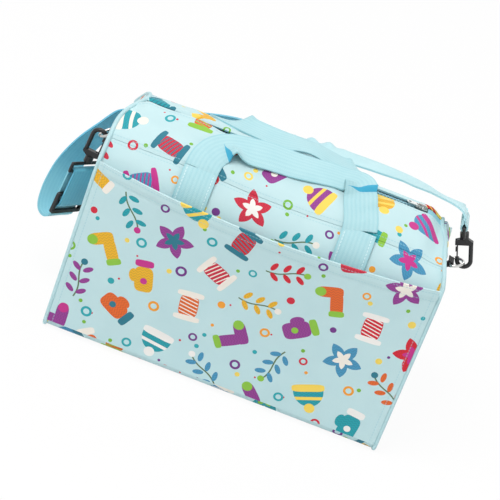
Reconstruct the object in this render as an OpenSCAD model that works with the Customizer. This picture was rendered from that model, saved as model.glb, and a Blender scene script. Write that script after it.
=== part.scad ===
// Knitting bag with a zipped dome top, an open front pocket, two webbing handles and a clip-on shoulder strap.
// Millimetres. The front faces -Y, +Z is up, and the origin is the middle of the base.

/* [Shell] */
// Width between the outer faces of the side panels
bag_w = 400; // [340:5:460]
// Depth from the front panel to the back panel
bag_d = 200; // [170:5:230]
// Height of the upright part of the front and back panels
wall_h = 190; // [160:5:220]
// Rise of the domed top above the upright walls
dome_h = 66; // [56:1:80]
// How far each top corner leans in at the ridge
lean = 20; // [5:1:28]
// Height where the side panels start to lean in, above the upright walls
lean_start = 25; // [15:1:35]
// Thickness of the padded panels
panel_t = 4; // [3:0.5:5]
// Thickness of the lining
lining_t = 1; // [0.6:0.1:1.5]
// Radius of the front and back bottom edges
base_r = 10; // [8:1:16]
// Angle round the dome, from the front, of the seam between a wall and its top leaf
seam_angle = 42; // [36:1:48]
// How far the piping stands out of the shell
piping_out = 3; // [2:0.5:4]

/* [Base board] */
// Thickness of the board
board_t = 3; // [2:0.5:5]
// Gap between the board and the lining
board_gap = 8; // [7:1:15]
// Corner radius of the board
board_r = 15; // [8:1:25]

/* [Front pocket] */
// How far the pocket's open edge stands above the upright walls
pocket_rise = 25; // [-10:5:30]
// How far the middle of the open edge stands off the front panel
pocket_gape = 24; // [16:1:32]
// Thickness of the pocket sheet
pocket_t = 3; // [2:0.5:4]

/* [Zip] */
// Width of the slot between the leaves that the two tapes fill
zip_slot = 16; // [14:1:22]
// Thickness of a tape
tape_t = 1.2; // [0.8:0.1:1.6]
// Distance from the left side of the bag to the row of teeth
zip_left_gap = 35; // [32:1:75]
// Distance from the right side of the bag to the closed slider's middle
slider_gap = 50; // [46:1:85]
// Spacing of the teeth
tooth_pitch = 4; // [3:0.5:6]
// Height of a tooth
tooth_h = 2.4; // [1.8:0.2:3]
// Length of the slider
slider_l = 14; // [11:1:16]
// Width of the slider
slider_w = 11; // [9:1:12]
// Thickness of the slider's plates
plate_t = 1.4; // [1:0.2:2]
// Length of the pull
pull_l = 18; // [15:1:20]
// Width of the pull
pull_w = 7; // [6.5:0.5:9]
// Thickness of the pull
pull_t = 1.2; // [1:0.2:1.8]

/* [Webbing] */
// Width of the handle and strap webbing
web_w = 38; // [30:1:40]
// Thickness of the webbing
web_t = 2.5; // [1.5:0.1:3]

/* [Handles] */
// Distance of each leg's middle line from the middle of the bag
leg_x = 92; // [75:1:110]
// Height of the lower, hidden end of the sewn legs
leg_foot = 62; // [60:1:110]
// Distance of the collapsed grip's near edge from the zip's middle line
grip_y = 12; // [11:0.5:15]

/* [Rings and hooks] */
// Height of the ring bars above the upright walls
tab_rise = 18; // [-10:1:21]
// Width of the tabs
tab_w = 16; // [12:1:16]
// Distance of a ring's bar from the side panel
bar_out = 4.5; // [4:0.5:7]
// Radius of the ring's wire
ring_r = 1.6; // [1.3:0.1:1.8]
// Radius of the ring's round part
ring_bow = 11.5; // [11:0.5:13]
// Radius of the ring's two corners
ring_corner = 2.6; // [2:0.1:2.6]
// Tilt of the right ring above level
right_ring_tilt = 20; // [15:1:25]
// Tilt of the left ring below level
left_ring_tilt = 35; // [30:1:40]
// Radius of a hook's round bar
hook_r = 2.5; // [2.2:0.1:2.7]
// Radius of a hook's bend, to the middle of the bar
hook_bend = 7.6; // [7.4:0.1:8.4]
// Height from the ring's wire to the underside of a hook's head
hook_rise = 22; // [22:1:28]
// Lean of the left hook away from the bag
left_hook_lean = 6; // [4:1:9]
// Radius of a swivel's post
post_r = 2.5; // [2:0.1:3]
// Turn of the left eye about its post
left_eye_turn = 35; // [20:1:36]
// Distance along the left strap end from its eye to the adjuster
adjuster_drop = 44; // [40:1:56]

/* [Hidden] */
$fn = 48;

fabric = "#cfe9ee";
webbing = "#b5e4ec";
strap_blue = "#6fb9d4";
black = "#1c1c1e";
nickel = "#c9ccd0";

// Shell
top_z = wall_h + dome_h;
lean_z = wall_h + lean_start;
dome_steps = 36;
corner_steps = 6;
min_corner_r = 0.5;
spare = 40;
seam_gap_deg = 0.15;
seam_y = bag_d / 2 * cos(seam_angle);
seam_z = wall_h + dome_h * sin(seam_angle);
lining_top = seam_z - 6;
touch = 0.3;
lift_half = leg_x + web_w / 2 + 1;

// Zip: the tapes lie level, halfway through the leaves' edges
zip_left = bag_w / 2 - zip_left_gap;
slider_x = bag_w / 2 - slider_gap;
slot = zip_slot / 2;
leaf_edge_z = wall_h + dome_h * sqrt(1 - pow(2 * slot / bag_d, 2));
tape_z = leaf_edge_z - panel_t / 2 - tape_t / 2;
tooth_back = 3.2;
tooth_root = 1.6;
tooth_tip = 1.2;
tooth_share = 0.38;
tip_share = 0.3;
teeth_stop = 2;
end_tab_t = 2.5 * tape_t;
end_tab_gap = 1;
teeth_mid = tape_z + tape_t / 2;
plate_gap = tooth_h + 1.2;
bridge_r = 0.9;
bridge_h = 3.4;
bridge_half = slider_l / 4;
slider_taper = 1.5;
divider_x = 0.5;
divider_half = 1.8;
pin_r = 0.8;
pin_gap = 0.7;
arm_gap = 0.8;
pull_window = 2;
top_plate_z = teeth_mid + plate_gap / 2;
pin_z = top_plate_z + plate_t + pin_r + pin_gap;

// Handles
handle_lift = 0.5;
grip_lift = handle_lift + web_t + touch;
grip_far = grip_y + web_w;
root_gap = 1.3;
root_y = seam_y - root_gap;
fold_strip = 1.5;
leg_stop_deg = 4;

// Rings and hooks
tab_z = wall_h + tab_rise;
bar_x = bag_w / 2 + bar_out;
ring_depth = ring_bow + ring_corner;
tab_hole_r = ring_r + 0.1;
tab_wall = 1.5;
patch_h = 20;
patch_t = 1.2;
swing = 30;
wire_to_bend = (hook_r + ring_r) / cos(swing) + touch;
bend_z = hook_bend - wire_to_bend;
head_h = 7;
head_half = hook_bend + hook_r;
head_shoulder = 0.8 * head_h;
nose_l = 4;
nose_z = bend_z + nose_l;
head_t = 6.4;
gate_t = 2.8;
gate_slot = 3.4;
gate_pin_r = 1.2;
gate_hub_r = 2.6;
gate_bore = gate_pin_r + 0.06;
gate_bar = 1.6;
pad_out = 1.2;
pad_low = 0.62;
pad_share = 0.3;
pivot_z = hook_rise + gate_hub_r;
knob_r = 5;
knob_h = 8;
knob_z = hook_rise + head_h;
post_in = 6;
post_gap = 0.06;
eye_r = 2;
eye_z = knob_z + knob_h + eye_r + touch;
eye_side = 1.5;
eye_in = web_w + eye_side;
eye_h = 8;
eye_bar_z = eye_z + eye_r + eye_h;
wrap_in = eye_r + touch;
wrap_out = wrap_in + web_t;
sewn_l = 4;
right_wire = [bar_x + ring_depth * cos(right_ring_tilt), 0, tab_z + ring_depth * sin(right_ring_tilt)];
left_wire = [-bar_x - ring_depth * cos(left_ring_tilt), 0, tab_z - ring_depth * sin(left_ring_tilt)];

// Adjuster
adj_bar = 4;
adj_slot = 8;
adj_t = 3.6;
adj_r = 3;
adj_l = 3 * adj_bar + 2 * adj_slot;
adj_z = eye_bar_z + adjuster_drop;

function arc(c, r, a, b, n) = [for (k = [0:n]) c + r * [cos(a + (b - a) * k / n), sin(a + (b - a) * k / n)]];

// Outline of the bag seen from its side, in depth and height, set in by i
function profile_points(i) =
    let (r = max(base_r - i, min_corner_r), y = bag_d / 2 - i - r, a = bag_d / 2 - i, b = dome_h - i)
    concat(arc([y, i + r], r, -90, 0, corner_steps),
        [for (k = [0:dome_steps]) [a * cos(180 * k / dome_steps), wall_h + b * sin(180 * k / dome_steps)]],
        arc([-y, i + r], r, 180, 270, corner_steps));

module along_x(l) rotate([90, 0, 90]) linear_extrude(l, center = true) children();

module along_y(l) rotate([90, 0, 0]) linear_extrude(l, center = true) children();

module profile(i) polygon(profile_points(i));

module ring_profile(outer, inner) {
    difference() {
        profile(outer);
        profile(inner);
    }
}

// Outline seen from the front, set in by j at both sides: upright, then leaning in
module front_outline(j) {
    h = top_z + spare;
    x = bag_w / 2 - j;
    x_top = x - lean * (h - lean_z) / (top_z - lean_z);
    polygon([[-x, -spare], [x, -spare], [x, lean_z], [x_top, h], [-x_top, h], [-x, lean_z]]);
}

module between_sides(j) along_y(2 * bag_d) front_outline(j);

// Wedge of the side view between two angles round the dome, from the front
module wedge(a, b) {
    far = 3;
    centre = [0, wall_h];
    mid = (a + b) / 2;
    polygon(concat([centre],
        [for (t = [a, mid, b]) centre + far * [-bag_d / 2 * cos(t), dome_h * sin(t)]]));
}

module upper_half(z) translate([-bag_d, z]) square([2 * bag_d, 2 * top_z]);

// Side view of a front wall's zone: from the base's edge up to an angle round the dome
module wall_zone(stop) {
    difference() {
        translate([-bag_d, base_r]) square([bag_d, top_z]);
        wedge(stop, 180 - stop);
    }
}

module panel_of(inset) {
    intersection() {
        along_x(bag_w + spare) children();
        between_sides(inset);
    }
}

module base_panel() color(fabric) panel_of(panel_t) {
    difference() {
        ring_profile(0, panel_t);
        upper_half(base_r);
    }
}

module board_outline(w, d, r) {
    square([w - 2 * r, d], center = true);
    square([w, d - 2 * r], center = true);
    for (sx = [-1, 1], sy = [-1, 1]) translate([sx * (w / 2 - r), sy * (d / 2 - r)]) circle(r);
}

module base_board() color("#b9a98a") {
    off = 2 * (panel_t + lining_t + board_gap);
    translate([0, 0, panel_t + lining_t]) linear_extrude(board_t)
        board_outline(bag_w - off, bag_d - off, board_r);
}

module front_panel() color(fabric) panel_of(panel_t) {
    intersection() {
        ring_profile(0, panel_t);
        wall_zone(seam_angle - seam_gap_deg);
    }
}

module back_panel() mirror([0, 1, 0]) front_panel();

module side_strip(j, t) {
    intersection() {
        difference() {
            between_sides(j);
            between_sides(j + t);
        }
        translate([0, -bag_d, -spare]) cube([bag_w, 2 * bag_d, top_z + 2 * spare]);
    }
}

module right_side_panel() color(fabric) {
    intersection() {
        along_x(bag_w + spare) profile(panel_t);
        side_strip(0, panel_t);
    }
}

module left_side_panel() mirror([1, 0, 0]) right_side_panel();

// The piping rings the side panel and stops flush with the base
module right_piping() color(webbing) {
    intersection() {
        along_x(bag_w + spare) intersection() {
            ring_profile(-piping_out, panel_t);
            upper_half(0);
        }
        side_strip(0, panel_t);
    }
}

module left_piping() mirror([1, 0, 0]) right_piping();

module lining() color("#9fc4cf") {
    difference() {
        panel_of(panel_t) profile(panel_t);
        panel_of(panel_t + lining_t) profile(panel_t + lining_t);
        translate([-bag_w, -bag_d, lining_top]) cube([2 * bag_w, 2 * bag_d, top_z]);
    }
}

// The pocket stands off the panel most at the middle of its open edge
pocket_h = wall_h + pocket_rise;
pocket_nx = 24;
pocket_nz = 6;
pocket_half = bag_w / 2 - panel_t;
function pocket_point(i, k, t) =
    let (x = pocket_half * (2 * i / pocket_nx - 1), h = k / pocket_nz)
    [x, -bag_d / 2 - t - pocket_gape * h * (1 - pow(x / pocket_half, 2)), base_r + (pocket_h - base_r) * h];
function pocket_id(i, k, outer) = outer * (pocket_nx + 1) * (pocket_nz + 1) + k * (pocket_nx + 1) + i;
function quad(a, b, c, d) = [[a, b, c], [a, c, d]];

module front_pocket() color(fabric) {
    points = [for (o = [0, 1], k = [0:pocket_nz], i = [0:pocket_nx]) pocket_point(i, k, o * pocket_t)];
    faces = concat(
        [for (k = [0:pocket_nz - 1], i = [0:pocket_nx - 1], q = quad(pocket_id(i, k, 1), pocket_id(i, k + 1, 1),
            pocket_id(i + 1, k + 1, 1), pocket_id(i + 1, k, 1))) q],
        [for (k = [0:pocket_nz - 1], i = [0:pocket_nx - 1], q = quad(pocket_id(i, k, 0), pocket_id(i + 1, k, 0),
            pocket_id(i + 1, k + 1, 0), pocket_id(i, k + 1, 0))) q],
        [for (i = [0:pocket_nx - 1], q = quad(pocket_id(i, 0, 0), pocket_id(i, 0, 1),
            pocket_id(i + 1, 0, 1), pocket_id(i + 1, 0, 0))) q],
        [for (i = [0:pocket_nx - 1], q = quad(pocket_id(i, pocket_nz, 0), pocket_id(i + 1, pocket_nz, 0),
            pocket_id(i + 1, pocket_nz, 1), pocket_id(i, pocket_nz, 1))) q],
        [for (k = [0:pocket_nz - 1], q = quad(pocket_id(0, k, 0), pocket_id(0, k + 1, 0),
            pocket_id(0, k + 1, 1), pocket_id(0, k, 1))) q],
        [for (k = [0:pocket_nz - 1], q = quad(pocket_id(pocket_nx, k, 0), pocket_id(pocket_nx, k, 1),
            pocket_id(pocket_nx, k + 1, 1), pocket_id(pocket_nx, k + 1, 0))) q]);
    polyhedron(points, faces);
}

// Side view of a leaf, from an angle round the dome up to the zip
module leaf_section(start) {
    difference() {
        intersection() {
            ring_profile(0, panel_t);
            wedge(start, 90);
        }
        translate([-slot, wall_h]) square([2 * slot, 2 * dome_h]);
    }
}

// The middle of a leaf lifts when the zip is open, and its ends stay sewn to the side panels
module front_top_leaf() color(fabric) along_x(2 * lift_half) leaf_section(seam_angle + seam_gap_deg);

module rear_top_leaf() mirror([0, 1, 0]) front_top_leaf();

module front_leaf_ends() color(fabric) {
    difference() {
        panel_of(panel_t) leaf_section(seam_angle - seam_gap_deg);
        translate([-lift_half - touch, -bag_d, 0]) cube([2 * (lift_half + touch), 2 * bag_d, 2 * top_z]);
    }
}

module rear_leaf_ends() mirror([0, 1, 0]) front_leaf_ends();

module front_zip_tape() color("#8fb3c4") {
    translate([-zip_left, -slot, tape_z]) cube([zip_left + slider_x + slider_l / 2, slot - tooth_back, tape_t]);
}

module rear_zip_tape() mirror([0, 1, 0]) front_zip_tape();

// A comb of teeth that reaches past the middle line into the gaps of the other comb
module comb(offset) {
    x1 = slider_x - teeth_stop;
    count = floor((x1 + zip_left) / tooth_pitch) - 1;
    half = tooth_share * tooth_pitch / 2;
    tip = tip_share * tooth_pitch / 2;
    translate([0, 0, teeth_mid - tooth_h / 2]) linear_extrude(tooth_h) polygon(concat(
        [[-zip_left, -tooth_back], [x1, -tooth_back], [x1, -tooth_root]],
        [for (k = [count - 1:-1:0])
            let (x = -zip_left + tooth_pitch * (k + 0.5 + offset))
            each [[x + half, -tooth_root], [x + tip, tooth_tip],
                [x - tip, tooth_tip], [x - half, -tooth_root]]],
        [[-zip_left, -tooth_root]]));
}

module front_zip_teeth() color(webbing) comb(0);

module rear_zip_teeth() color(webbing) mirror([0, 1, 0]) comb(0.5);

// The tabs cover the zip's ends and are sewn to the side panels
module right_zip_end_tab() color(webbing) {
    x0 = slider_x + slider_l / 2 + end_tab_gap;
    intersection() {
        translate([x0, -slot + touch, tape_z - tape_t]) cube([bag_w, 2 * (slot - touch), end_tab_t]);
        between_sides(panel_t);
    }
}

module left_zip_end_tab() color(webbing) {
    intersection() {
        translate([-bag_w, -slot + touch, tape_z - tape_t])
            cube([bag_w - zip_left - end_tab_gap, 2 * (slot - touch), end_tab_t]);
        between_sides(panel_t);
    }
}

// Slider: two plates joined by a wedge, with a bridge for the pull
module zip_slider() color(nickel) {
    low = teeth_mid - plate_gap / 2 - plate_t;
    wedge_l = slider_l / 3;
    translate([slider_x, 0, 0]) {
        for (z = [low, top_plate_z]) {
            translate([0, 0, z]) linear_extrude(plate_t) polygon([[-slider_l / 2, -slider_w / 2 + slider_taper],
                [0, -slider_w / 2], [slider_l / 2, -slider_w / 2], [slider_l / 2, slider_w / 2],
                [0, slider_w / 2], [-slider_l / 2, slider_w / 2 - slider_taper]]);
        }
        translate([divider_x, 0, low]) linear_extrude(plate_gap + 2 * plate_t)
            polygon([[0, 0], [wedge_l, -divider_half], [wedge_l, divider_half]]);
        for (s = [-1, 1]) {
            translate([s * bridge_half, 0, top_plate_z]) cylinder(r = bridge_r, h = bridge_h + plate_t);
        }
        translate([0, 0, top_plate_z + plate_t + bridge_h]) rotate([0, 90, 0])
            cylinder(r = bridge_r, h = 2 * (bridge_half + bridge_r), center = true);
    }
}

// Pull: a pin under the slider's bridge, two arms beside it and a tab with a grip hole
module zip_pull() color(nickel) {
    inner = bridge_half + bridge_r + pull_window;
    arm_y = bridge_r + arm_gap;
    translate([slider_x, 0, pin_z]) {
        rotate([90, 0, 0]) cylinder(r = pin_r, h = pull_w, center = true);
        translate([0, 0, -pull_t / 2]) linear_extrude(pull_t) difference() {
            union() {
                translate([-pull_l + pull_w / 2, -pull_w / 2]) square([pull_l - pull_w / 2, pull_w]);
                translate([-pull_l + pull_w / 2, 0]) circle(pull_w / 2);
            }
            translate([-inner, -arm_y]) square([inner + 1, 2 * arm_y]);
            translate([-pull_l + pull_w / 2, 0]) circle(pull_w / 4);
        }
    }
}

// Sewn legs of a handle, lying on the wall from under the pocket up to the seam
module front_handle_legs() color(webbing) {
    for (s = [-1, 1]) {
        translate([s * leg_x, 0, 0]) along_x(web_w) difference() {
            intersection() {
                ring_profile(-web_t, 0);
                wall_zone(seam_angle - leg_stop_deg);
            }
            translate([-bag_d, -spare]) square([2 * bag_d, leg_foot + spare]);
        }
    }
}

module rear_handle_legs() mirror([0, 1, 0]) front_handle_legs();

module plan_prism() translate([0, 0, wall_h]) linear_extrude(dome_h + spare) children();

// A layer of webbing lying over the dome at a height, cut to an outline seen from above
module laid_webbing(lift) {
    intersection() {
        along_x(bag_w) ring_profile(-lift - web_t, -lift);
        plan_prism() children();
    }
}

// Free loop of a handle, collapsed on the top: two legs, each folded over at 45 degrees into the grip
module front_handle() color(webbing) {
    x0 = leg_x - web_w / 2;
    x1 = leg_x + web_w / 2;
    near = -grip_y;
    far = -grip_far;
    for (s = [0, 1]) {
        mirror([s, 0, 0]) {
            laid_webbing(handle_lift) polygon([[x0, -root_y], [x1, -root_y], [x1, far], [x0, near]]);
            intersection() {
                along_x(bag_w) ring_profile(-grip_lift - web_t, -handle_lift);
                plan_prism() polygon([[x1, far], [x0, near], [x0, near - fold_strip], [x1 - fold_strip, far]]);
            }
        }
    }
    laid_webbing(grip_lift) polygon([[-x1, far], [x1, far], [x0, near], [-x0, near]]);
}

module rear_handle() mirror([0, 1, 0]) front_handle();

// Fabric tab folded round a ring's bar and sewn flat on the side panel
module right_ring_tab() color(black) {
    x = bag_w / 2;
    outer = tab_hole_r + tab_wall;
    rotate([90, 0, 0]) linear_extrude(tab_w, center = true) difference() {
        union() {
            translate([bar_x, tab_z]) circle(outer);
            translate([x, tab_z - outer]) square([bar_out, 2 * outer]);
            translate([x, tab_z - patch_h]) square([patch_t, patch_h]);
        }
        translate([bar_x, tab_z]) circle(tab_hole_r);
    }
}

module left_ring_tab() mirror([1, 0, 0]) right_ring_tab();

module wire_bend(r, angle) rotate_extrude(angle = angle) translate([r, 0]) circle(ring_r);

// D-ring with its bar along Y at the origin and its bow towards +X
module d_ring() {
    half = ring_bow - ring_corner;
    rotate([90, 0, 0]) cylinder(r = ring_r, h = 2 * half, center = true);
    for (s = [0, 1]) {
        mirror([0, s, 0]) translate([ring_corner, half, 0]) rotate([0, 0, 90]) wire_bend(ring_corner, 90);
    }
    translate([ring_corner, 0, 0]) rotate([0, 0, -90]) wire_bend(ring_bow, 180);
}

module right_d_ring() color(nickel) translate([bar_x, 0, tab_z]) rotate([0, -right_ring_tilt, 0]) d_ring();

module left_d_ring() color(nickel) translate([-bar_x, 0, tab_z]) rotate([0, 180 - left_ring_tilt, 0]) d_ring();

module at_right_hook() translate(right_wire) rotate([0, -right_ring_tilt, 0]) children();

module at_left_hook() translate(left_wire) rotate([0, 180 + left_hook_lean, 0]) children();

// Snap hook standing on the ring's wire at the origin, with its spine towards +X and its gate towards -X
module hook() {
    translate([0, 0, bend_z]) rotate([90, 0, 0]) rotate([0, 0, 180]) rotate_extrude(angle = 180)
        translate([hook_bend, 0]) circle(hook_r);
    translate([hook_bend, 0, bend_z]) cylinder(r = hook_r, h = hook_rise - bend_z);
    translate([-hook_bend, 0, bend_z]) cylinder(r = hook_r, h = nose_z - bend_z);
    difference() {
        union() {
            translate([0, 0, hook_rise]) along_y(head_t) polygon([[-head_half, 0], [head_half, 0],
                [head_half, head_h / 2], [knob_r, head_h], [-knob_r, head_h], [-head_half, head_shoulder]]);
            translate([0, 0, knob_z]) cylinder(r = knob_r, h = knob_h);
        }
        translate([0, 0, knob_z + knob_h - post_in - touch]) cylinder(r = post_r + post_gap, h = post_in + 1);
        translate([-head_half - 1, -gate_slot / 2, hook_rise - 1])
            cube([hook_r + gate_hub_r + 2, gate_slot, pivot_z + gate_hub_r - hook_rise + 2]);
    }
    translate([-hook_bend, 0, pivot_z]) rotate([90, 0, 0]) cylinder(r = gate_pin_r, h = head_t, center = true);
}

// Gate: a hub on its pin, a bar down to the hook's nose and a thumb pad
module gate() {
    reach = pivot_z - nose_z - touch;
    difference() {
        union() {
            rotate([90, 0, 0]) cylinder(r = gate_hub_r, h = gate_t, center = true);
            translate([-gate_bar / 2, -gate_t / 2, -reach]) cube([gate_bar, gate_t, reach]);
            translate([-gate_bar / 2 - pad_out, -gate_t / 2, -reach * pad_low])
                cube([pad_out + gate_bar / 2, gate_t, reach * pad_share]);
        }
        rotate([90, 0, 0]) cylinder(r = gate_bore, h = 2 * gate_t, center = true);
    }
}

// Swivel eye: a post in the hook's knob and a slot for the webbing
module swivel_eye(turn) {
    half = eye_in / 2 + eye_r;
    translate([0, 0, knob_z + knob_h - post_in]) cylinder(r = post_r, h = post_in + eye_z - knob_z - knob_h);
    rotate([0, 0, turn]) {
        for (z = [eye_z, eye_bar_z]) {
            translate([0, 0, z]) rotate([90, 0, 0]) cylinder(r = eye_r, h = 2 * half, center = true);
        }
        for (s = [-1, 1]) {
            translate([0, s * half, eye_z]) cylinder(r = eye_r, h = eye_bar_z - eye_z);
            for (z = [eye_z, eye_bar_z]) translate([0, s * half, z]) sphere(eye_r);
        }
    }
}

module right_hook() color(black) at_right_hook() hook();

module left_hook() color(black) at_left_hook() hook();

module right_hook_gate() color(black) at_right_hook() translate([-hook_bend, 0, pivot_z]) gate();

module left_hook_gate() color(black) at_left_hook() translate([-hook_bend, 0, pivot_z]) gate();

module right_swivel_eye() color(black) at_right_hook() swivel_eye(0);

module left_swivel_eye() color(black) at_left_hook() swivel_eye(left_eye_turn);

// Strap end folded round the right eye and sewn to itself
module right_strap_end() color(strap_blue) at_right_hook() {
    along_y(web_w) difference() {
        union() {
            translate([0, eye_bar_z]) circle(wrap_out);
            translate([-web_t, eye_bar_z]) square([2 * web_t, wrap_out + sewn_l]);
        }
        translate([0, eye_bar_z]) circle(wrap_in);
    }
}

// Three-bar slide, in the left strap end's own frame
module adjuster_outline() {
    w = eye_in + 2 * adj_bar;
    difference() {
        board_outline(w, adj_l, adj_r);
        for (s = [-1, 1]) {
            translate([0, s * (adj_bar + adj_slot) / 2]) square([eye_in, adj_slot], center = true);
        }
    }
}

module at_left_strap() at_left_hook() rotate([0, 0, left_eye_turn]) children();

module strap_adjuster() color(black) at_left_strap() translate([0, 0, adj_z]) {
    rotate([90, 0, 90]) linear_extrude(adj_t, center = true) adjuster_outline();
}

// Webbing that turns round the left eye, runs back to the adjuster and hooks round its middle bar
module strap_return() color(strap_blue) at_left_strap() {
    turn_z = adj_z + adj_bar / 2 + touch;
    along_y(web_w) difference() {
        union() {
            intersection() {
                translate([0, eye_bar_z]) circle(wrap_out);
                translate([-wrap_out, eye_bar_z - wrap_out]) square([2 * wrap_out, wrap_out]);
            }
            translate([-wrap_out, eye_bar_z]) square([web_t, turn_z + web_t - eye_bar_z]);
            translate([-wrap_out, turn_z]) square([wrap_out + adj_t / 2, web_t]);
        }
        translate([0, eye_bar_z]) circle(wrap_in);
    }
}

// Route of the strap's middle line, and which way its width points, from the right eye to the left.
// Its ends follow the hooks, and between them it lies where it was dropped.
right_up = [-sin(right_ring_tilt), 0, cos(right_ring_tilt)];
left_down = [-sin(left_hook_lean), 0, -cos(left_hook_lean)];
left_out = cos(left_eye_turn) * [-cos(left_hook_lean), 0, sin(left_hook_lean)] + [0, sin(left_eye_turn), 0];
left_across = cross(left_out, left_down);
strap_off = wrap_in + web_t / 2;
right_end = right_wire + (eye_bar_z + wrap_out + sewn_l + touch) * right_up;
function left_point(s) = [left_wire + s * left_down + strap_off * left_out, left_across];
run_on = 8;
adj_end = adj_z + adj_l / 2;
loop_z = adj_z + adj_l + run_on;
// From the right end, as steps from it
arch = [[5 * right_up, [0, 1, 0]], [[-7, 2, 8.5], [0.1, 1, 0]], [[-17, 11, 9.5], [0.4, 1, 0]],
    [[-31, 30, 2.5], [0.8, 0.6, 0]], [[-46, 60, -10.5], [0.85, 0.5, 0]]];
// Behind the bag, as a share of its half width, and as steps from the back face and the seam
behind = [[[0.685, -13, 14], [0.75, 0.65, 0]], [[0.57, 4, 8], [0.4, 0.92, 0]], [[0.44, 8, 6.3], [0.1, 1, 0]],
    [[0.31, 8, 5.3], [0, 1, 0]], [[0.09, 8, 4], [0, 1, -0.05]], [[-0.15, 9, -1], [0, 0.9, -0.4]],
    [[-0.375, 10, -11], [0, 0.5, -0.85]], [[-0.575, 10, -24], [0, 0.2, -1]],
    [[-0.75, 10, -35], [0, 0.12, -1]], [[-0.9, 10.5, -44], [0, 0.1, -1]]];
// Beside the bag, as steps from the left ring, shares of the depth and shares of the loop's drop
beside = [[[4, 0.54, 0.15], [0.1, 0.3, -0.95]], [[-10, 0.455, 0.26], [0.27, 0.55, -0.8]],
    [[-23, 0.36, 0.42], [0.45, 0.52, -0.7]], [[-31.5, 0.26, 0.61], [0.65, 0.48, -0.55]],
    [[-34, 0.165, 0.78], [0.76, 0.46, -0.45]], [[-32, 0.095, 0.89], [0.78, 0.55, -0.3]],
    [[-27, 0.045, 0.95], [0.75, 0.65, -0.1]], [[-20.5, 0.015, 0.946], [0.62, 0.78, 0]]];
strap_route = concat(
    [[right_end, [0, 1, 0]]],
    [for (p = arch) [right_end + p[0], p[1]]],
    [for (p = behind) [[p[0][0] * bag_w / 2, bag_d / 2 + p[0][1], seam_z + p[0][2]], p[1]]],
    [for (p = beside) [left_wire + [p[0][0], p[0][1] * bag_d, -p[0][2] * loop_z], p[1]]],
    [for (s = [adj_end + run_on, adj_end + 1, adj_z, eye_bar_z + touch]) left_point(s)]);
strap_cuts = 3;

function unit(v) = v / norm(v);
function key(i) = strap_route[max(0, min(len(strap_route) - 1, i))];
// Catmull-Rom point between keys i and i + 1, of the place (m = 0) or of the width (m = 1)
function blend(i, u, m) =
    let (p = key(i - 1)[m], q = key(i)[m], r = key(i + 1)[m], s = key(i + 2)[m])
    0.5 * (2 * q + (r - p) * u + (2 * p - 5 * q + 4 * r - s) * u * u + (3 * q - p - 3 * r + s) * u * u * u);
function slope(i, u) =
    let (p = key(i - 1)[0], q = key(i)[0], r = key(i + 1)[0], s = key(i + 2)[0])
    0.5 * ((r - p) + 2 * (2 * p - 5 * q + 4 * r - s) * u + 3 * (3 * q - p - 3 * r + s) * u * u);
function strap_ring(i, u) =
    let (c = blend(i, u, 0), t = unit(slope(i, u)), w0 = blend(i, u, 1), w = unit(w0 - (w0 * t) * t),
        n = cross(t, w), a = w * web_w / 2, b = n * web_t / 2)
    [c - a - b, c + a - b, c + a + b, c - a + b];

module shoulder_strap() color(strap_blue) {
    last = len(strap_route) - 2;
    rings = concat([for (i = [0:last], k = [0:strap_cuts - 1]) strap_ring(i, k / strap_cuts)],
        [strap_ring(last, 1)]);
    n = len(rings);
    points = [for (r = rings) each r];
    sides = [for (i = [0:n - 2], k = [0:3], q = quad(4 * i + k, 4 * i + 4 + k,
        4 * i + 4 + (k + 1) % 4, 4 * i + (k + 1) % 4)) q];
    polyhedron(points, concat(sides, quad(0, 1, 2, 3), quad(4 * n - 1, 4 * n - 2, 4 * n - 3, 4 * n - 4)));
}

base_panel();
base_board();
front_panel();
back_panel();
left_side_panel();
right_side_panel();
lining();
front_pocket();
left_piping();
right_piping();
front_handle_legs();
rear_handle_legs();
left_zip_end_tab();
right_zip_end_tab();
left_ring_tab();
right_ring_tab();
front_leaf_ends();
rear_leaf_ends();
front_top_leaf();
front_zip_tape();
front_zip_teeth();
rear_top_leaf();
rear_zip_tape();
rear_zip_teeth();
zip_slider();
zip_pull();
front_handle();
rear_handle();
left_d_ring();
right_d_ring();
left_hook();
right_hook();
left_hook_gate();
right_hook_gate();
left_swivel_eye();
right_swivel_eye();
shoulder_strap();
right_strap_end();
strap_return();
strap_adjuster();
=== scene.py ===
from bisect import bisect_right
from itertools import accumulate
from math import cos, dist, exp, hypot, pi, radians, sin, sqrt

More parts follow.
